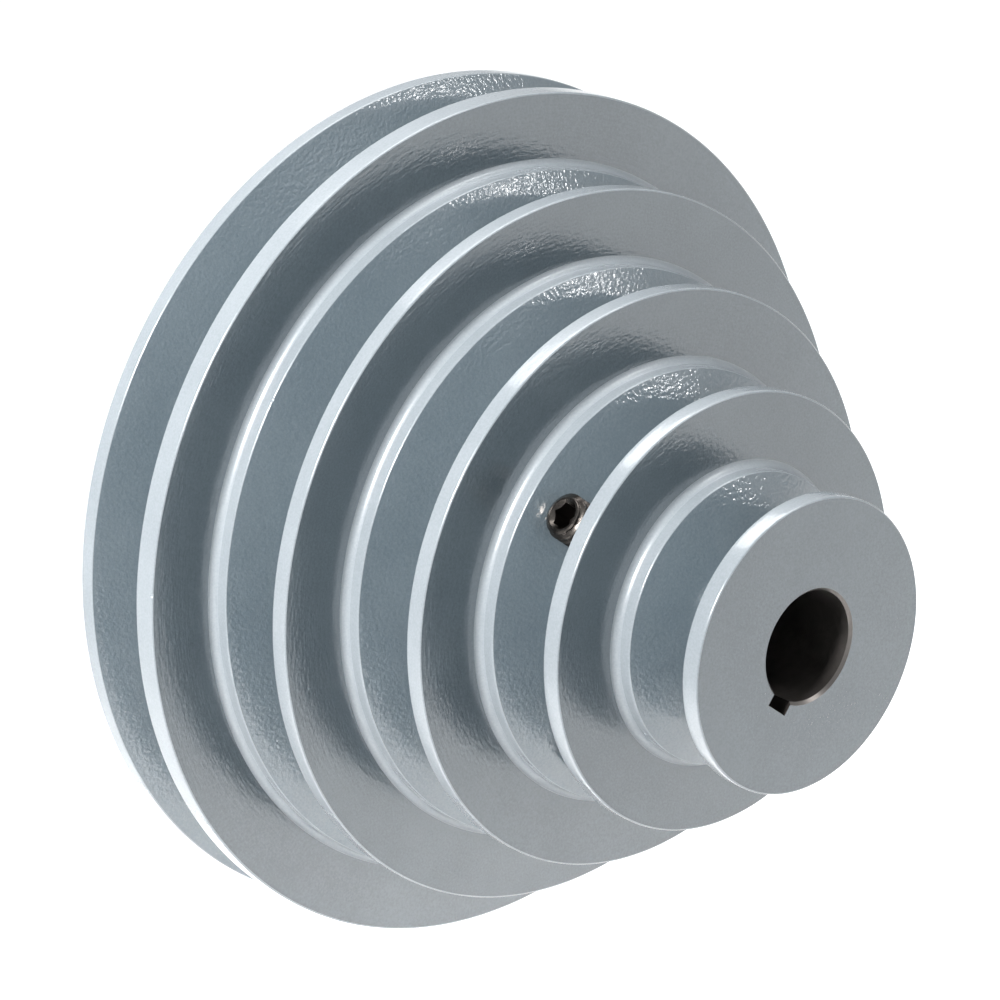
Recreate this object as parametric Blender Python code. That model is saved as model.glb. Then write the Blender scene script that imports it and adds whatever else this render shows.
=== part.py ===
"""Five-step cone pulley for V belts: one iron casting with a keyed bore, and two set screws.

Metres, +Z up. The pulley spins about Y, its small end faces -Y, and the origin is on the spin axis
at mid-length. The shaft's set screw points towards -X +Z, and the keyway and the set screw over it
point towards -X -Z, a quarter turn away.
"""
from math import cos, pi, radians, sin, tan

import bpy

INCH = 0.0254
MM = 0.001

# Steps, from the small end to the large end; the front land lies in front of the step's groove
STEP_DIAMETERS = (2 * INCH, 3 * INCH, 4 * INCH, 5 * INCH, 6 * INCH)
STEP_WIDTHS = (0.75 * INCH, 0.75 * INCH, 0.75 * INCH, 0.75 * INCH, 0.775 * INCH)
FRONT_LANDS = (0.13 * INCH, 0.13 * INCH, 0.13 * INCH, 0.13 * INCH, 0.17 * INCH)
LENGTH = sum(STEP_WIDTHS)
EDGE_BREAK = 0.3 * MM
CORNER_FILLET = 1.2 * MM

# Belt groove, the same on every step, for a belt of half-inch top width
GROOVE_TOP_WIDTH = 0.49 * INCH
GROOVE_DEPTH = 0.48 * INCH
GROOVE_HALF_ANGLE = radians(17)

# Shaft bore and keyway
BORE_RADIUS = 0.375 * INCH
BORE_BREAK = 0.5 * MM
KEYWAY_WIDTH = 3 / 16 * INCH
KEYWAY_ROOF = 0.837 * INCH - BORE_RADIUS

# Cored hollow in the back, around the hub
HUB_RADIUS = 0.75 * INCH
HUB_DRAFT = radians(2)
HOLLOW_MOUTH_RADIUS = 61 * MM
HOLLOW_FLOOR_RADIUS = 29.5 * MM
HOLLOW_DEPTH = 47 * MM
HOLLOW_FILLET = 4 * MM
MOUTH_BREAK = 1.5 * MM

# Set screws, 5/16 inch by 1/2 inch with a hexagon socket and a cup point
SCREW_RADIUS = 3.95 * MM
SCREW_LENGTH = 0.5 * INCH
SCREW_RIM_RADIUS = 3.0 * MM
SCREW_RIM_HEIGHT = 0.7 * MM
SCREW_POINT_RADIUS = 2.2 * MM
SCREW_CUP_DEPTH = 1.3 * MM
SOCKET_ACROSS_FLATS = 5 / 32 * INCH
SOCKET_DEPTH = 4.5 * MM
TAPPED_HOLE_RADIUS = 4.25 * MM

# Where the set screws sit: in the groove of the second step, a little behind its middle
SCREW_STEP = 1
SCREW_BEHIND_FRONT = 29.3 * MM
SCREW_END_RADIUS = 35.3 * MM
SHAFT_SCREW_TURN = radians(-45)
KEY_TURN = radians(-135)

ROUND_SEGMENTS = 48
SCREW_SEGMENTS = 24
MERGE_DISTANCE = 0.00001


def clear_scene():
    """Remove every object that the scene starts with."""
    for thing in list(bpy.data.objects):
        bpy.data.objects.remove(thing, do_unlink=True)


def make_material(name, colour, metallic, roughness):
    """Return a Principled material of one colour."""
    material = bpy.data.materials.new(name)
    material.use_nodes = True
    shader = material.node_tree.nodes["Principled BSDF"]
    shader.inputs["Base Color"].default_value = (*colour, 1.0)
    shader.inputs["Metallic"].default_value = metallic
    shader.inputs["Roughness"].default_value = roughness
    return material


def arc(centre, radius, start, end, steps):
    """Return points on an arc of (radius, height) pairs, both ends included."""
    angles = [start + (end - start) * step / steps for step in range(steps + 1)]
    return [(centre[0] + radius * cos(angle), centre[1] + radius * sin(angle)) for angle in angles]


def add_object(name, mesh):
    """Link a new object for a mesh to the scene."""
    piece = bpy.data.objects.new(name, mesh)
    bpy.context.scene.collection.objects.link(piece)
    return piece


def add_turned(name, points, closed, segments):
    """Turn an outline of (radius, height) points about the object's own Z axis."""
    mesh = bpy.data.meshes.new(name)
    last = len(points)
    edges = [(index, index + 1) for index in range(last - 1)]
    if closed:
        edges.append((last - 1, 0))
    mesh.from_pydata([(radius, 0.0, height) for radius, height in points], edges, [])
    piece = add_object(name, mesh)
    turn = piece.modifiers.new("Turn", "SCREW")
    turn.axis = "Z"
    turn.angle = 2 * pi
    turn.steps = segments
    turn.render_steps = segments
    turn.use_merge_vertices = True
    turn.merge_threshold = MERGE_DISTANCE
    return piece


def add_prism(name, sides, radius, low, high):
    """Make a closed upright prism between two heights."""
    bpy.ops.mesh.primitive_cylinder_add(vertices=sides, radius=radius, depth=high - low)
    piece = bpy.context.object
    piece.name = name
    for vertex in piece.data.vertices:
        vertex.co.z += (low + high) / 2
    return piece


def add_block(name, low, high):
    """Make a closed box between two corners."""
    bpy.ops.mesh.primitive_cube_add(size=1)
    piece = bpy.context.object
    piece.name = name
    for vertex in piece.data.vertices:
        for axis in range(3):
            vertex.co[axis] = low[axis] if vertex.co[axis] < 0 else high[axis]
    return piece


def cut(piece, cutter):
    """Take a cutter away from a piece with an exact Boolean."""
    cutter.hide_render = True
    cutter.display_type = "WIRE"
    difference = piece.modifiers.new("Cut " + cutter.name, "BOOLEAN")
    difference.operation = "DIFFERENCE"
    difference.solver = "EXACT"
    difference.object = cutter


def finish_piece(piece, cutters, material):
    """Apply the modifiers, delete the cutters, and shade the round faces smooth."""
    bpy.context.view_layer.update()
    graph = bpy.context.evaluated_depsgraph_get()
    mesh = bpy.data.meshes.new_from_object(piece.evaluated_get(graph))
    piece.modifiers.clear()
    piece.data = mesh
    for cutter in cutters:
        bpy.data.objects.remove(cutter, do_unlink=True)
    mesh.shade_smooth()
    mesh.set_sharp_from_angle(angle=radians(25))
    mesh.materials.clear()
    mesh.materials.append(material)


def step_outline(index):
    """Outline of one step from its front edge to the foot of the next step's face."""
    radius = STEP_DIAMETERS[index] / 2
    front = LENGTH / 2 - sum(STEP_WIDTHS[:index])
    back = front - STEP_WIDTHS[index]
    groove_front = front - FRONT_LANDS[index]
    groove_back = groove_front - GROOVE_TOP_WIDTH
    root = radius - GROOVE_DEPTH
    flank = GROOVE_DEPTH * tan(GROOVE_HALF_ANGLE)
    points = [
        (radius - EDGE_BREAK, front),
        (radius, front - EDGE_BREAK),
        (radius, groove_front),
        (root, groove_front - flank),
        (root, groove_back + flank),
        (radius, groove_back),
    ]
    if index < len(STEP_DIAMETERS) - 1:
        centre = (radius + CORNER_FILLET, back + CORNER_FILLET)
        points += arc(centre, CORNER_FILLET, pi, 1.5 * pi, 3)
    else:
        points += [(radius, back + EDGE_BREAK), (radius - EDGE_BREAK, back)]
    return points


def hollow_outline():
    """Outline of the cored hollow, from its mouth up the cone, over the floor and down the hub."""
    back = -LENGTH / 2
    floor = back + HOLLOW_DEPTH
    hub_foot = HUB_RADIUS + HOLLOW_DEPTH * tan(HUB_DRAFT)
    slope = (HOLLOW_MOUTH_RADIUS - HOLLOW_FLOOR_RADIUS) / HOLLOW_DEPTH
    wall_foot = floor - HOLLOW_FILLET
    return [
        (HOLLOW_MOUTH_RADIUS + MOUTH_BREAK, back),
        (HOLLOW_MOUTH_RADIUS - MOUTH_BREAK * slope, back + MOUTH_BREAK),
        (HOLLOW_FLOOR_RADIUS + HOLLOW_FILLET * slope, wall_foot),
        (HOLLOW_FLOOR_RADIUS, floor - HOLLOW_FILLET * 0.3),
        (HOLLOW_FLOOR_RADIUS - HOLLOW_FILLET * 0.6, floor),
        (hub_foot + HOLLOW_FILLET * 0.5, floor),
        (hub_foot, floor - HOLLOW_FILLET * 0.5),
        (HUB_RADIUS, back + EDGE_BREAK),
        (HUB_RADIUS - EDGE_BREAK, back),
    ]


def bore_outline():
    """Outline of the bore from the back face to the front face."""
    return [
        (BORE_RADIUS + BORE_BREAK, -LENGTH / 2),
        (BORE_RADIUS, -LENGTH / 2 + BORE_BREAK),
        (BORE_RADIUS, LENGTH / 2 - BORE_BREAK),
        (BORE_RADIUS + BORE_BREAK, LENGTH / 2),
    ]


def keyway_cutter():
    """Straight slot along the whole bore, lying along the pulley's own axis."""
    half = KEYWAY_WIDTH / 2
    reach = LENGTH / 2 + 2 * MM
    cutter = add_block("keyway_cutter", (-half, -reach, BORE_RADIUS / 2), (half, reach, KEYWAY_ROOF))
    cutter.rotation_euler = (0, KEY_TURN, 0)
    return cutter


def tapped_hole_cutter(name, turn):
    """Radial hole from the bore out through the second step's groove."""
    reach = STEP_DIAMETERS[SCREW_STEP] / 2 + 4 * MM
    cutter = add_prism(name, SCREW_SEGMENTS, TAPPED_HOLE_RADIUS, BORE_RADIUS / 2, reach)
    cutter.location = (0, SCREW_BEHIND_FRONT - LENGTH / 2, 0)
    cutter.rotation_euler = (0, turn, 0)
    return cutter


def build_casting(material):
    """The turned iron casting, with its keyway and two tapped holes."""
    outline = []
    for index in range(len(STEP_DIAMETERS)):
        outline += step_outline(index)
    outline += hollow_outline() + bore_outline()
    casting = add_turned("pulley_casting", outline, True, ROUND_SEGMENTS)
    casting.rotation_euler = (radians(90), 0, 0)
    cutters = [
        keyway_cutter(),
        tapped_hole_cutter("shaft_hole_cutter", SHAFT_SCREW_TURN),
        tapped_hole_cutter("key_hole_cutter", KEY_TURN),
    ]
    for cutter in cutters:
        cut(casting, cutter)
    finish_piece(casting, cutters, material)


def build_set_screw(name, turn, material):
    """A headless screw standing in its tapped hole, with its outer end at the object's origin."""
    point_height = SCREW_RADIUS - SCREW_POINT_RADIUS
    outline = [
        (0.0, 0.0),
        (SCREW_RIM_RADIUS, 0.0),
        (SCREW_RADIUS, -SCREW_RIM_HEIGHT),
        (SCREW_RADIUS, -SCREW_LENGTH + point_height),
        (SCREW_POINT_RADIUS, -SCREW_LENGTH),
        (0.0, -SCREW_LENGTH + SCREW_CUP_DEPTH),
    ]
    screw = add_turned(name, outline, False, SCREW_SEGMENTS)
    corner_radius = SOCKET_ACROSS_FLATS / 2 / cos(radians(30))
    socket = add_prism(name + "_socket_cutter", 6, corner_radius, -SOCKET_DEPTH, 1 * MM)
    cut(screw, socket)
    finish_piece(screw, [socket], material)
    screw.location = (
        SCREW_END_RADIUS * sin(turn),
        SCREW_BEHIND_FRONT - LENGTH / 2,
        SCREW_END_RADIUS * cos(turn),
    )
    screw.rotation_euler = (0, turn, 0)


def main():
    """Build the whole pulley."""
    clear_scene()
    iron = make_material("enamelled_iron", (0.30, 0.33, 0.35), 0.5, 0.35)
    build_casting(iron)
    screw_turns = {"shaft_set_screw": SHAFT_SCREW_TURN, "key_set_screw": KEY_TURN}
    for name, turn in screw_turns.items():
        steel = make_material(name + "_steel", (0.52, 0.50, 0.48), 1.0, 0.25)
        build_set_screw(name, turn, steel)


main()
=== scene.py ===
"""Looks of a five-step cone pulley for V belts: enamelled iron casting and two steel set screws.

Metres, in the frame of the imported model: the spin axis is Y, the small end faces -Y, +Z is up.
Turns about the spin axis are measured from the top, towards +X.
"""

from math import ceil, cos, inf, pi, radians, sin, tan

import bmesh
import bpy
from mathutils import Matrix, Vector


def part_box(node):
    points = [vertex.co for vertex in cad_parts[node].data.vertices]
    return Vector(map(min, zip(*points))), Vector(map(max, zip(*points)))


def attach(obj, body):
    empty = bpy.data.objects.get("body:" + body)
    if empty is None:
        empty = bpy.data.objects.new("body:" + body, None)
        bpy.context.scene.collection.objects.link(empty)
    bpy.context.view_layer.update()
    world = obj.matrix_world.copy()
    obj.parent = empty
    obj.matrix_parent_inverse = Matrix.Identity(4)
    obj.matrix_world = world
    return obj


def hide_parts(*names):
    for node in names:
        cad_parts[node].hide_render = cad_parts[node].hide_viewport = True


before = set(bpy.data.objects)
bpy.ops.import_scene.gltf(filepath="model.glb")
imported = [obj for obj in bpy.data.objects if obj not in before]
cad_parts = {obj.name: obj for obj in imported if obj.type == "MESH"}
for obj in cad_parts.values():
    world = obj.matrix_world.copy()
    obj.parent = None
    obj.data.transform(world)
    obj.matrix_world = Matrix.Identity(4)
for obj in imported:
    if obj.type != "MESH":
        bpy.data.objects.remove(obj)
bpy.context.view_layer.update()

INCH = 0.0254
MM = 0.001

# Overall size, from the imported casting
CASTING_LOW, CASTING_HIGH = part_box("pulley_casting")
LENGTH = CASTING_HIGH.y - CASTING_LOW.y
LARGE_RADIUS = CASTING_HIGH.x

# Steps and belt grooves, from the small end to the large end
STEP_COUNT = 5
STEP_WIDTHS = (0.75 * INCH, 0.75 * INCH, 0.75 * INCH, 0.75 * INCH, 0.775 * INCH)
FRONT_LANDS = (0.13 * INCH, 0.13 * INCH, 0.13 * INCH, 0.13 * INCH, 0.17 * INCH)
STEP_RISE = 0.5 * INCH
GROOVE_TOP_WIDTH = 0.49 * INCH
GROOVE_DEPTH = 0.48 * INCH
GROOVE_HALF_ANGLE = radians(17)
EDGE_BREAK = 0.3 * MM
GROOVE_EDGE_BREAK = 0.25 * MM
ROOT_ROUND = 0.8 * MM
CORNER_FILLET = 1.2 * MM

# Bore and keyway, whose roof is 0.837 inch from the far side of the bore
BORE_RADIUS = 0.375 * INCH
BORE_BREAK = 0.5 * MM
KEYWAY_WIDTH = 3 / 16 * INCH
KEYWAY_ROOF = 0.837 * INCH - BORE_RADIUS
KEY_TURN = radians(-135)

# Cored hollow in the back
HUB_RADIUS = 0.75 * INCH
HUB_DRAFT = radians(2)
HOLLOW_MOUTH_RADIUS = 61 * MM
HOLLOW_FLOOR_RADIUS = 29.5 * MM
HOLLOW_DEPTH = 47 * MM
HOLLOW_FILLET = 4 * MM
MOUTH_BREAK = 1.5 * MM

# Set screws, 5/16 inch with 18 threads to the inch, in the groove of the second smallest step
SCREW_STEP = 1
SHAFT_SCREW_TURN = radians(-45)
SCREW_RADIUS = 3.95 * MM
SCREW_LENGTH = 0.5 * INCH
SCREW_RIM_RADIUS = 3.0 * MM
SCREW_RIM_HEIGHT = 0.7 * MM
SCREW_POINT_RADIUS = 2.2 * MM
SCREW_CUP_DEPTH = 1.3 * MM
SCREW_CUP_TIP_RADIUS = 0.05 * MM
SOCKET_ACROSS_FLATS = 5 / 32 * INCH
SOCKET_DEPTH = 4.5 * MM
SOCKET_CHAMFER = 0.35 * MM

# Each set screw: its node, its body, its turn and the turn of its hexagon socket
SET_SCREWS = (
    ("shaft_set_screw", "shaft_screw", SHAFT_SCREW_TURN, radians(-5)),
    ("key_set_screw", "key_screw", KEY_TURN, radians(35)),
)

# Thread: its pitch and depth, and the shares of the pitch that its crest and its two flanks take
THREAD_PITCH = INCH / 18
THREAD_DEPTH = 0.75 * MM
THREAD_CREST_SHARE = 0.15
THREAD_FLANKS_SHARE = 0.6

# Tapped holes, clear of the screws; how far out cutters start, and how much longer than needed they are
HOLE_RADIUS = 4.03 * MM
HOLE_THREAD_DEPTH = 0.27 * MM
CUTTER_START = BORE_RADIUS / 2
CUTTER_OVERSHOOT = 4 * MM

# Small nicks in the lands' edges: step from the small end, distance behind its front, turn
NICKS = ((4, 0.0, radians(-78.5)), (3, FRONT_LANDS[3] + GROOVE_TOP_WIDTH, radians(-49)))
NICK_RADIUS = 0.6 * MM
NICK_HEIGHT = 0.35 * MM

# Fineness of the meshes, the angles above which an edge is shaded sharp, and how far the large faces
# rule the shading of the small ones beside them
ROUND_SEGMENTS = 480
ROUNDING_STEPS = 4
LONGEST_EDGES = {"land": 0.9 * MM, "hollow": 6 * MM}
THREAD_SEGMENTS = 64
THREAD_ROWS_PER_TURN = 14
CASTING_SHARP_ANGLE = radians(28)
SCREW_SHARP_ANGLE = radians(35)
FLATS_WEIGHT = 80

# Enamel: the two tones of its faint mottling on each kind of surface, its index of refraction, and
# the clear film's share of its roughness. The faces, back and hollow have the enamel's own tones. The
# flank and land tones are lighter copies of the same enamel: painted light.
ENAMEL_TONES = ((0.070, 0.091, 0.107), (0.096, 0.121, 0.137))
FLANK_PAINTED_LIGHT_TONES = ((0.116, 0.148, 0.170), (0.150, 0.184, 0.206))
LAND_PAINTED_LIGHT_TONES = ((0.215, 0.242, 0.262), (0.260, 0.287, 0.307))
ENAMEL_IOR = 2.1
LAND_IOR = 1.6
GLOSS_SHARE = 0.45

# Enamel on each zone of the casting: the material's name, tones, index of refraction, roughness, and
# the depths of the film's bumps and of the tool marks
ENAMELS = {
    "face": ("enamel_face", ENAMEL_TONES, ENAMEL_IOR, 0.17, 0.035 * MM, 0.038 * MM),
    # Lands, edge breaks, fillets and groove roots take the land tones, enamel painted lighter as painted
    # light
    "land": ("enamel_land_painted_light", LAND_PAINTED_LIGHT_TONES, LAND_IOR, 0.24, 0.015 * MM, 0.010 * MM),
    "round": ("enamel_round_painted_light", LAND_PAINTED_LIGHT_TONES, LAND_IOR, 0.24, 0.015 * MM, 0.010 * MM),
    "fillet": ("enamel_fillet_painted_light", LAND_PAINTED_LIGHT_TONES, LAND_IOR, 0.45, 0.015 * MM, 0.010 * MM),
    # Groove flanks take the flank tones, enamel painted lighter as painted light
    "flank": ("enamel_flank_painted_light", FLANK_PAINTED_LIGHT_TONES, ENAMEL_IOR, 0.14, 0.085 * MM, 0.010 * MM),
    "back": ("enamel_back", ENAMEL_TONES, ENAMEL_IOR, 0.26, 0.03 * MM, 0.02 * MM),
    "hollow": ("enamel_as_cast", ENAMEL_TONES, ENAMEL_IOR, 0.40, 0.25 * MM, 0.0),
}

# Bare iron in the bore, and in the keyway and tapped holes: name, tones, roughness, strength of the
# tool marks. The keyway and tapped holes get far darker tones than the bore: painted shade in those
# recesses.
BARE_IRONS = {
    "bore": ("bored_iron", ((0.13, 0.118, 0.110), (0.24, 0.22, 0.205)), 0.30, 0.3),
    "cut": ("cut_iron_painted_shade", ((0.035, 0.031, 0.029), (0.070, 0.062, 0.057)), 0.50, 0.2),
}

# Steel of the set screws and of their sockets: name, tones, roughness. The sockets' steel is a darker
# copy of the screws' steel: painted shade in the hexagon recess.
SCREW_STEEL = ("screw_steel", ((0.055, 0.048, 0.044), (0.15, 0.135, 0.122)), 0.24)
SOCKET_PAINTED_SHADE_STEEL = ("socket_painted_shade_steel", ((0.020, 0.018, 0.017), (0.040, 0.036, 0.033)), 0.45)

PAPER_TONES = ((0.93, 0.93, 0.93), (0.96, 0.96, 0.96))

# Fineness of the textures: features to a metre, or to a radian round the axis; depth of metal's bumps
MOTTLE_SCALE = 45
PAPER_SCALE = 60
IRON_STAIN_SCALE = 90
GLOSS_SCALE = 260
STEEL_STAIN_SCALE = 300
PEBBLE_SCALE = 1500
STREAK_SCALE = 2000
IRON_STREAK_SCALE = 2500
SCRATCH_SCALE = 2500
GRAIN_SCALE = 2600
STREAKS_AROUND = 26
IRON_STREAKS_AROUND = 4
METAL_BUMP_DEPTH = 0.1 * MM

# Camera: place, heading, pitch, roll, lens and sensor width
CAMERA_PLACE = Vector((-0.4096, -0.4800, 0.3151))
CAMERA_HEADING = radians(-38.88)
CAMERA_PITCH = radians(64.5)
CAMERA_ROLL = radians(-5.86)
CAMERA_LENS = 148.5
CAMERA_SENSOR = 36

# Floor, surroundings and lights: a light's name, place, target, size, watts and spread
FLOOR_HEIGHT = -0.16
FLOOR_SIZE = 12
SKY_COLOUR = (0.93, 0.97, 1.0, 1.0)
SKY_STRENGTH = 0.52
LIGHTS = (
    ("key_left", (-0.76, -0.06, 0.68), (0, 0.06, 0), (0.30, 0.90), 2.3, radians(30)),
    ("fill_right", (0.90, -0.70, 1.10), (0.40, -0.45, FLOOR_HEIGHT), (0.5, 0.5), 5, pi),
    ("wash_right", (0.70, 0.10, 1.60), (0.70, 0.10, 0), (0.8, 0.8), 7, pi),
    ("wash_back", (0.60, 1.20, 1.80), (0.60, 1.20, 0), (1.4, 1.2), 22, pi),
    ("spark_front", (0.667, -0.77, 0.145), (0, 0, 0), (0.05, 0.05), 0.25, pi),
)


# ---------------------------------------------------------------- places on the pulley

def step_radius(index):
    """Radius of a step's lands."""
    return LARGE_RADIUS - (STEP_COUNT - 1 - index) * STEP_RISE


def step_front(index):
    """Distance of a step's front from the middle of the pulley, towards the small end."""
    return LENGTH / 2 - sum(STEP_WIDTHS[:index])


def radial_place(turn, radius, along):
    """Matrix that stands a local +Z outwards from the spin axis, at a radius and a place along Y."""
    place = Vector((radius * sin(turn), along, radius * cos(turn)))
    return Matrix.Translation(place) @ Matrix.Rotation(turn, 4, "Y")


def screw_along():
    """Place of the set screws along Y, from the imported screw's box."""
    low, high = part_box("shaft_set_screw")
    return (low.y + high.y) / 2


def screw_end_radius(node, turn):
    """Distance of a packed set screw's outer end from the spin axis."""
    outward = Vector((sin(turn), 0, cos(turn)))
    return max(vertex.co.dot(outward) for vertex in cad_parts[node].data.vertices)


# ---------------------------------------------------------------- mesh work

def ring_band(here, there, count):
    """Faces between two rings of points, each given by the index of its first point."""
    faces = []
    for index in range(count):
        following = (index + 1) % count
        faces.append((here + index, there + index, there + following, here + following))
    return faces


def closed_mesh(name, vertices, faces):
    """Mesh of a closed shape, with its faces pointing out."""
    mesh = bpy.data.meshes.new(name)
    mesh.from_pydata(vertices, [], faces)
    shape = bmesh.new()
    shape.from_mesh(mesh)
    bmesh.ops.recalc_face_normals(shape, faces=shape.faces)
    shape.to_mesh(mesh)
    shape.free()
    return mesh


def add_piece(name, mesh):
    """Link a new object for a mesh to the scene."""
    piece = bpy.data.objects.new(name, mesh)
    bpy.context.scene.collection.objects.link(piece)
    return piece


def prism(name, sides, low_radius, high_radius, low, high, turn=0.0):
    """Closed prism or cone about Z between two heights."""
    bpy.ops.mesh.primitive_cone_add(
        vertices=sides, radius1=low_radius, radius2=high_radius, depth=high - low,
        location=(0, 0, (low + high) / 2), rotation=(0, 0, turn),
    )
    piece = bpy.context.object
    piece.name = name
    return piece


def cut(piece, cutter):
    """Take a cutter away from a piece, leaving its material on the new faces, and delete the cutter."""
    difference = piece.modifiers.new("Cut", "BOOLEAN")
    difference.operation = "DIFFERENCE"
    difference.solver = "EXACT"
    difference.material_mode = "TRANSFER"
    difference.object = cutter
    graph = bpy.context.evaluated_depsgraph_get()
    mesh = bpy.data.meshes.new_from_object(piece.evaluated_get(graph))
    piece.modifiers.clear()
    piece.data = mesh
    bpy.data.objects.remove(cutter, do_unlink=True)


def finish_shape(piece, sharp_angle):
    """Shade the round faces smooth, keep real edges sharp and keep flat faces looking flat."""
    piece.data.shade_smooth()
    piece.data.set_sharp_from_angle(angle=sharp_angle)
    flats = piece.modifiers.new("Flats", "WEIGHTED_NORMAL")
    flats.mode = "FACE_AREA"
    flats.weight = FLATS_WEIGHT
    flats.keep_sharp = True


# ---------------------------------------------------------------- outline of the casting

def rounding_zone(rounding):
    """Name of the surface zone of a rounding, from its radius."""
    if rounding <= EDGE_BREAK:
        return "round"
    if rounding <= CORNER_FILLET:
        return "fillet"
    return "hollow"


def rounded(corners):
    """Round the corners of a closed outline.

    Each corner is (radius, height, rounding, zone), where zone names the surface that follows it.
    Edge breaks are in the zone "round", the fillets and the grooves' roots in "fillet", and the
    hollow's roundings in "hollow".
    Returns points and, for each point, the zone of the edge that follows it.
    """
    points = []
    zones = []
    count = len(corners)
    for index, (radius, height, rounding, zone) in enumerate(corners):
        corner = Vector((radius, height))
        before = Vector(corners[index - 1][:2]) - corner
        after = Vector(corners[(index + 1) % count][:2]) - corner
        if rounding == 0:
            points.append(corner)
            zones.append(zone)
            continue
        half = before.angle(after) / 2
        reach = rounding / tan(half)
        centre = corner + (before.normalized() + after.normalized()).normalized() * rounding / sin(half)
        start = corner + before.normalized() * reach - centre
        sweep = (corner + after.normalized() * reach - centre).angle_signed(start)
        for step in range(ROUNDING_STEPS + 1):
            turned = start.copy()
            turned.rotate(Matrix.Rotation(sweep * step / ROUNDING_STEPS, 2))
            points.append(centre + turned)
            zones.append(rounding_zone(rounding))
        zones[-1] = zone
    return points, zones


def subdivided(points, zones):
    """Split each outline edge of a zone that has a longest length into equal parts."""
    fine_points = []
    fine_zones = []
    for index, point in enumerate(points):
        following = points[(index + 1) % len(points)]
        limit = LONGEST_EDGES.get(zones[index])
        parts = ceil((following - point).length / limit) if limit else 1
        for part in range(parts):
            fine_points.append(point.lerp(following, part / parts))
            fine_zones.append(zones[index])
    return fine_points, fine_zones


def step_corners(index):
    """Corners of one step, from its front edge to the foot of the next step's face."""
    radius = step_radius(index)
    front = step_front(index)
    back = front - STEP_WIDTHS[index]
    groove_front = front - FRONT_LANDS[index]
    groove_back = groove_front - GROOVE_TOP_WIDTH
    root = radius - GROOVE_DEPTH
    flank = GROOVE_DEPTH * tan(GROOVE_HALF_ANGLE)
    corners = [
        (radius, front, EDGE_BREAK, "land"),
        (radius, groove_front, GROOVE_EDGE_BREAK, "flank"),
        (root, groove_front - flank, ROOT_ROUND, "flank"),
        (root, groove_back + flank, ROOT_ROUND, "flank"),
        (radius, groove_back, GROOVE_EDGE_BREAK, "land"),
    ]
    if index < STEP_COUNT - 1:
        corners.append((radius, back, CORNER_FILLET, "face"))
    else:
        corners.append((radius, back, EDGE_BREAK, "back"))
    return corners


def hollow_corners():
    """Corners of the cored hollow and the hub's back."""
    back = -LENGTH / 2
    floor = back + HOLLOW_DEPTH
    hub_foot = HUB_RADIUS + HOLLOW_DEPTH * tan(HUB_DRAFT)
    return [
        (HOLLOW_MOUTH_RADIUS, back, MOUTH_BREAK, "hollow"),
        (HOLLOW_FLOOR_RADIUS, floor, HOLLOW_FILLET, "hollow"),
        (hub_foot, floor, HOLLOW_FILLET / 2, "hollow"),
        (HUB_RADIUS, back, EDGE_BREAK, "back"),
    ]


def bore_corners():
    """Corners of the bore, with a flat edge break at each end."""
    end = LENGTH / 2
    return [
        (BORE_RADIUS + BORE_BREAK, -end, 0, "bore"),
        (BORE_RADIUS, -end + BORE_BREAK, 0, "bore"),
        (BORE_RADIUS, end - BORE_BREAK, 0, "bore"),
        (BORE_RADIUS + BORE_BREAK, end, 0, "face"),
    ]


def casting_outline():
    """Points and zones of the whole outline, round the casting's section."""
    corners = []
    for index in range(STEP_COUNT):
        corners += step_corners(index)
    corners += hollow_corners() + bore_corners()
    return subdivided(*rounded(corners))


def turned_mesh(name, points, zones, materials):
    """Turn an outline, whose heights run towards -Y, about Y; each face gets its zone's material."""
    count = len(points)
    names = list(materials)
    vertices = []
    faces = []
    slots = []
    for segment in range(ROUND_SEGMENTS):
        angle = 2 * pi * segment / ROUND_SEGMENTS
        vertices += [(point.x * cos(angle), -point.y, point.x * sin(angle)) for point in points]
        faces += ring_band(segment * count, (segment + 1) % ROUND_SEGMENTS * count, count)
        slots += [names.index(zone) for zone in zones]
    mesh = closed_mesh(name, vertices, faces)
    for material in materials.values():
        mesh.materials.append(material)
    mesh.polygons.foreach_set("material_index", slots)
    return mesh


# ---------------------------------------------------------------- threads

def thread_wave(height, angle):
    """Share of the thread's depth at a place: 0 on the crest, 1 at the root."""
    phase = (height / THREAD_PITCH - angle / (2 * pi)) % 1.0
    distance = abs(phase - 0.5) * 2
    return min(max((distance - THREAD_CREST_SHARE) / THREAD_FLANKS_SHARE, 0.0), 1.0)


def screw_surface(height, angle):
    """Radius of the set screw's thread."""
    return SCREW_RADIUS - THREAD_DEPTH * thread_wave(height, angle)


def hole_surface(height, angle):
    """Radius of the tapped hole, whose thread is cut outwards from a clear bore."""
    return HOLE_RADIUS + HOLE_THREAD_DEPTH * thread_wave(height, angle)


def thread_row_count(length):
    """How many rows of points follow the thread along a length."""
    return ceil(length / THREAD_PITCH * THREAD_ROWS_PER_TURN)


def threaded_rod(name, rows, surface):
    """Closed rod about Z from rows of (height, limit); surface gives the radius at (height, angle)."""
    vertices = []
    for height, limit in rows:
        for segment in range(THREAD_SEGMENTS):
            angle = 2 * pi * segment / THREAD_SEGMENTS
            radius = min(surface(height, angle), limit)
            vertices.append((radius * cos(angle), radius * sin(angle), height))
    last = (len(rows) - 1) * THREAD_SEGMENTS
    faces = []
    for first in range(0, last, THREAD_SEGMENTS):
        faces += ring_band(first, first + THREAD_SEGMENTS, THREAD_SEGMENTS)
    faces.append(tuple(range(THREAD_SEGMENTS)))
    faces.append(tuple(reversed(range(last, last + THREAD_SEGMENTS))))
    return add_piece(name, closed_mesh(name, vertices, faces))


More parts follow.
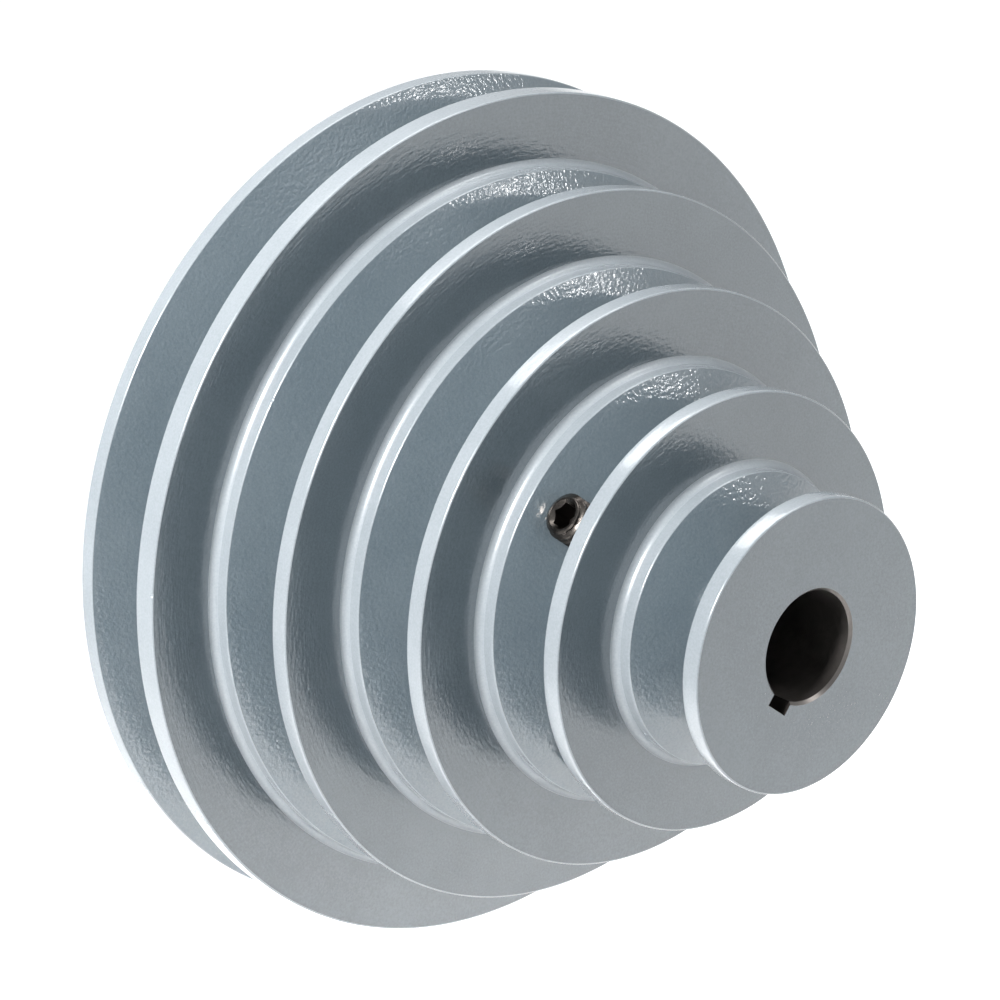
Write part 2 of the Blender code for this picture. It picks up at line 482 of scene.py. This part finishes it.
def screw_rows():
    """Rows of a set screw, from its chamfered outer end to the tip of the cup in its point."""
    rim_slope = (SCREW_RADIUS - SCREW_RIM_RADIUS) / SCREW_RIM_HEIGHT
    count = thread_row_count(SCREW_LENGTH)
    rows = []
    for row in range(count + 1):
        height = -SCREW_LENGTH * row / count
        rim = SCREW_RIM_RADIUS - height * rim_slope
        point = SCREW_POINT_RADIUS + height + SCREW_LENGTH
        rows.append((height, min(rim, point, SCREW_RADIUS)))
    rows.append((-SCREW_LENGTH + SCREW_CUP_DEPTH, SCREW_CUP_TIP_RADIUS))
    return rows


# ---------------------------------------------------------------- cutters

def tapped_hole(turn, material):
    """Cutter for a tapped hole from the bore out through the groove."""
    length = step_radius(SCREW_STEP) + CUTTER_OVERSHOOT - CUTTER_START
    count = thread_row_count(length)
    rows = [(CUTTER_START + length * row / count, inf) for row in range(count + 1)]
    cutter = threaded_rod("tapped_hole", rows, hole_surface)
    cutter.data.materials.append(material)
    cutter.data.transform(radial_place(turn, 0, screw_along()))
    return cutter


def keyway(material):
    """Cutter for the straight keyway along the bore."""
    bpy.ops.mesh.primitive_cube_add(size=1)
    cutter = bpy.context.object
    size = Vector((KEYWAY_WIDTH, LENGTH + CUTTER_OVERSHOOT, KEYWAY_ROOF - CUTTER_START))
    middle = (KEYWAY_ROOF + CUTTER_START) / 2
    cutter.data.transform(Matrix.Diagonal((*size, 1)))
    cutter.data.transform(radial_place(KEY_TURN, middle, 0))
    cutter.data.materials.append(material)
    return cutter


def nick(step, behind, turn, material):
    """Cutter for a small nick where something has knocked the edge of a land."""
    bpy.ops.mesh.primitive_uv_sphere_add(segments=16, ring_count=10, radius=NICK_RADIUS)
    cutter = bpy.context.object
    cutter.data.transform(radial_place(turn, step_radius(step) + NICK_HEIGHT, behind - step_front(step)))
    cutter.data.materials.append(material)
    return cutter


def socket_cutters(socket_turn, steel, socket_painted_shade_steel):
    """Cutters for a hexagon socket in a screw's end at height 0, and for its 45-degree chamfer."""
    corner = SOCKET_ACROSS_FLATS / 2 / cos(radians(30))
    socket = prism("socket", 6, corner, corner, -SOCKET_DEPTH, 1 * MM, socket_turn)
    socket.data.materials.append(socket_painted_shade_steel)
    mouth = corner + SOCKET_CHAMFER
    reach = 2 * SOCKET_CHAMFER
    chamfer = prism("mouth", THREAD_SEGMENTS, mouth - reach, mouth + reach, -reach, reach)
    chamfer.data.materials.append(steel)
    return socket, chamfer


# ---------------------------------------------------------------- materials

def new_material(name):
    """Return a material, its nodes, its links and its Principled shader."""
    material = bpy.data.materials.new(name)
    material.use_nodes = True
    nodes = material.node_tree.nodes
    return material, nodes, material.node_tree.links, nodes["Principled BSDF"]


def object_coordinates(nodes):
    """Coordinates of the object's own frame, in metres."""
    return nodes.new("ShaderNodeTexCoord").outputs["Object"]


def math_node(nodes, links, operation, first, second=None):
    """A Math node on sockets or numbers."""
    node = nodes.new("ShaderNodeMath")
    node.operation = operation
    for socket, value in zip(node.inputs, (first, second)):
        if value is None:
            continue
        if isinstance(value, bpy.types.NodeSocket):
            links.new(value, socket)
        else:
            socket.default_value = value
    return node.outputs[0]


def turning_coordinates(nodes, links, around, fine):
    """Coordinates for marks that run round the axis: scaled round it, and finer across and along it."""
    split = nodes.new("ShaderNodeSeparateXYZ")
    links.new(object_coordinates(nodes), split.inputs[0])
    x, y, z = split.outputs
    square = math_node(nodes, links, "ADD",
                       math_node(nodes, links, "MULTIPLY", x, x),
                       math_node(nodes, links, "MULTIPLY", z, z))
    radius = math_node(nodes, links, "SQRT", square)
    safe = math_node(nodes, links, "MAXIMUM", radius, 1 * MM)
    depth = math_node(nodes, links, "ADD",
                      math_node(nodes, links, "MULTIPLY", radius, fine),
                      math_node(nodes, links, "MULTIPLY", y, fine))
    join = nodes.new("ShaderNodeCombineXYZ")
    round_x = math_node(nodes, links, "MULTIPLY", math_node(nodes, links, "DIVIDE", x, safe), around)
    round_z = math_node(nodes, links, "MULTIPLY", math_node(nodes, links, "DIVIDE", z, safe), around)
    links.new(round_x, join.inputs[0])
    links.new(depth, join.inputs[1])
    links.new(round_z, join.inputs[2])
    return join.outputs[0]


def noise(nodes, links, vector, scale, detail, roughness=0.5):
    """A Noise texture's value on a vector."""
    node = nodes.new("ShaderNodeTexNoise")
    node.inputs["Scale"].default_value = scale
    node.inputs["Detail"].default_value = detail
    node.inputs["Roughness"].default_value = roughness
    links.new(vector, node.inputs["Vector"])
    return node.outputs["Fac"]


def set_tones(nodes, links, shader, value, tones, low, high):
    """Colour a shader from the first tone, where the value is low, to the second, where it is high."""
    ramp = nodes.new("ShaderNodeValToRGB")
    for element, place, tone in zip(ramp.color_ramp.elements, (low, high), tones):
        element.position = place
        element.color = (*tone, 1.0)
    links.new(value, ramp.inputs["Fac"])
    links.new(ramp.outputs["Color"], shader.inputs["Base Color"])


def set_roughness(nodes, links, shader, value, low, high):
    """Let a shader's roughness follow a texture's value between two limits."""
    rough = nodes.new("ShaderNodeMapRange")
    links.new(value, rough.inputs["Value"])
    rough.inputs["To Min"].default_value = low
    rough.inputs["To Max"].default_value = high
    links.new(rough.outputs["Result"], shader.inputs["Roughness"])


def bump(nodes, links, height, strength, distance, normal=None):
    """A Bump node, on top of an earlier one if given."""
    node = nodes.new("ShaderNodeBump")
    node.inputs["Strength"].default_value = strength
    node.inputs["Distance"].default_value = distance
    links.new(height, node.inputs["Height"])
    if normal is not None:
        links.new(normal, node.inputs["Normal"])
    return node.outputs["Normal"]


def enamel(name, tones, ior, roughness, pebble, streak):
    """Blue-grey enamel over turned iron: a pebbled film, turning streaks and faint tone changes.

    pebble and streak are the depths of the film's bumps and of the tool marks, in metres.
    """
    material, nodes, links, shader = new_material(name)
    place = object_coordinates(nodes)
    mottle = noise(nodes, links, place, MOTTLE_SCALE, detail=4, roughness=0.6)
    grain = noise(nodes, links, place, GRAIN_SCALE, detail=2, roughness=0.6)
    tone = math_node(nodes, links, "MULTIPLY", math_node(nodes, links, "ADD", mottle, grain), 0.5)
    set_tones(nodes, links, shader, tone, tones, low=0.38, high=0.62)
    gloss = noise(nodes, links, place, GLOSS_SCALE, detail=3)
    set_roughness(nodes, links, shader, gloss, low=roughness * 0.8, high=roughness * 1.25)
    shader.inputs["IOR"].default_value = ior
    shader.inputs["Coat Weight"].default_value = 1.0
    shader.inputs["Coat Roughness"].default_value = roughness * GLOSS_SHARE
    turning = turning_coordinates(nodes, links, STREAKS_AROUND, STREAK_SCALE)
    streaks = noise(nodes, links, turning, 1.0, detail=2)
    pebbles = noise(nodes, links, place, PEBBLE_SCALE, detail=1.5)
    normal = bump(nodes, links, streaks, strength=1.0, distance=streak)
    normal = bump(nodes, links, pebbles, strength=1.0, distance=pebble, normal=normal)
    links.new(normal, shader.inputs["Normal"])
    links.new(normal, shader.inputs["Coat Normal"])
    return material


def bare_iron(name, tones, roughness, streak):
    """Machined iron with stains and fine tool marks; streak is the strength of the marks."""
    material, nodes, links, shader = new_material(name)
    stains = noise(nodes, links, object_coordinates(nodes), IRON_STAIN_SCALE, detail=5, roughness=0.65)
    set_tones(nodes, links, shader, stains, tones, low=0.3, high=0.7)
    set_roughness(nodes, links, shader, stains, low=roughness * 0.75, high=roughness * 1.3)
    shader.inputs["Metallic"].default_value = 0.85
    turning = turning_coordinates(nodes, links, IRON_STREAKS_AROUND, IRON_STREAK_SCALE)
    streaks = noise(nodes, links, turning, 1.0, detail=2)
    normal = bump(nodes, links, streaks, strength=streak, distance=METAL_BUMP_DEPTH)
    links.new(normal, shader.inputs["Normal"])
    return material


def dark_steel(name, tones, roughness):
    """Dark oiled steel with stains and a fine scratched grain."""
    material, nodes, links, shader = new_material(name)
    place = object_coordinates(nodes)
    stains = noise(nodes, links, place, STEEL_STAIN_SCALE, detail=4, roughness=0.6)
    set_tones(nodes, links, shader, stains, tones, low=0.35, high=0.65)
    set_roughness(nodes, links, shader, stains, low=roughness * 0.7, high=roughness * 1.4)
    shader.inputs["Metallic"].default_value = 1.0
    scratches = noise(nodes, links, place, SCRATCH_SCALE, detail=2)
    normal = bump(nodes, links, scratches, strength=0.15, distance=METAL_BUMP_DEPTH)
    links.new(normal, shader.inputs["Normal"])
    return material


def floor_paper():
    """Pale matt paper, very faintly mottled."""
    material, nodes, links, shader = new_material("floor_paper")
    tooth = noise(nodes, links, object_coordinates(nodes), PAPER_SCALE, detail=3)
    set_tones(nodes, links, shader, tooth, PAPER_TONES, low=0.0, high=1.0)
    shader.inputs["Roughness"].default_value = 0.9
    return material


# ---------------------------------------------------------------- pieces

def build_casting():
    """The casting, turned from one outline, then tapped, broached and nicked."""
    materials = {zone: enamel(*finish) for zone, finish in ENAMELS.items()}
    for zone, finish in BARE_IRONS.items():
        materials[zone] = bare_iron(*finish)
    points, zones = casting_outline()
    casting = add_piece("casting_surface", turned_mesh("casting_surface", points, zones, materials))
    # The tapped holes and the keyway take the darker cut iron, painted shade in those recesses
    for turn in (SHAFT_SCREW_TURN, KEY_TURN):
        cut(casting, tapped_hole(turn, materials["cut"]))
    cut(casting, keyway(materials["cut"]))
    for step, behind, turn in NICKS:
        cut(casting, nick(step, behind, turn, materials["round"]))
    finish_shape(casting, CASTING_SHARP_ANGLE)
    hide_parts("pulley_casting")
    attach(casting, "pulley")


def build_set_screw(node, body, turn, socket_turn, steel, socket_painted_shade_steel):
    """A set screw with a real helical thread, a chamfered rim, a hexagon socket and a cup point."""
    screw = threaded_rod(node + "_detail", screw_rows(), screw_surface)
    screw.data.materials.append(steel)
    for cutter in socket_cutters(socket_turn, steel, socket_painted_shade_steel):
        cut(screw, cutter)
    screw.data.transform(radial_place(turn, screw_end_radius(node, turn), screw_along()))
    finish_shape(screw, SCREW_SHARP_ANGLE)
    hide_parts(node)
    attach(screw, body)


def build_set_screws():
    """The screw that presses on the shaft and the one that presses on the key."""
    steel = dark_steel(*SCREW_STEEL)
    # Darker steel for the sockets: painted shade inside them
    socket_painted_shade_steel = dark_steel(*SOCKET_PAINTED_SHADE_STEEL)
    for node, body, turn, socket_turn in SET_SCREWS:
        build_set_screw(node, body, turn, socket_turn, steel, socket_painted_shade_steel)


# ---------------------------------------------------------------- studio

def build_floor():
    """A wide pale floor below the pulley."""
    bpy.ops.mesh.primitive_grid_add(
        x_subdivisions=4, y_subdivisions=4, size=FLOOR_SIZE, location=(0, 0, FLOOR_HEIGHT),
    )
    floor = bpy.context.object
    floor.name = "floor"
    floor.data.materials.append(floor_paper())


def add_light(name, place, target, size, watts, spread):
    """A soft white rectangular light aimed at a point."""
    light = bpy.data.lights.new(name, "AREA")
    light.shape = "RECTANGLE"
    light.size, light.size_y = size
    light.energy = watts
    light.spread = spread
    lamp = bpy.data.objects.new(name, light)
    bpy.context.scene.collection.objects.link(lamp)
    lamp.location = place
    lamp.rotation_euler = (Vector(target) - Vector(place)).to_track_quat("-Z", "Y").to_euler()


def build_studio():
    """Pale surroundings, a tall key light, soft fills that keep the floor white, and a small sparkle."""
    world = bpy.data.worlds.new("studio")
    bpy.context.scene.world = world
    world.use_nodes = True
    background = world.node_tree.nodes["Background"]
    background.inputs["Color"].default_value = SKY_COLOUR
    background.inputs["Strength"].default_value = SKY_STRENGTH
    for light in LIGHTS:
        add_light(*light)
    bpy.context.scene.view_settings.view_transform = "Standard"


def build_camera():
    """The camera, a long lens from above the small end's left."""
    data = bpy.data.cameras.new("camera")
    data.lens = CAMERA_LENS
    data.sensor_width = CAMERA_SENSOR
    camera = bpy.data.objects.new("camera", data)
    bpy.context.scene.collection.objects.link(camera)
    heading = Matrix.Rotation(CAMERA_HEADING, 4, "Z")
    pitch = Matrix.Rotation(CAMERA_PITCH, 4, "X")
    roll = Matrix.Rotation(CAMERA_ROLL, 4, "Z")
    camera.matrix_world = Matrix.Translation(CAMERA_PLACE) @ heading @ pitch @ roll
    bpy.context.scene.camera = camera


build_camera()
build_casting()
build_set_screws()
build_floor()
build_studio()
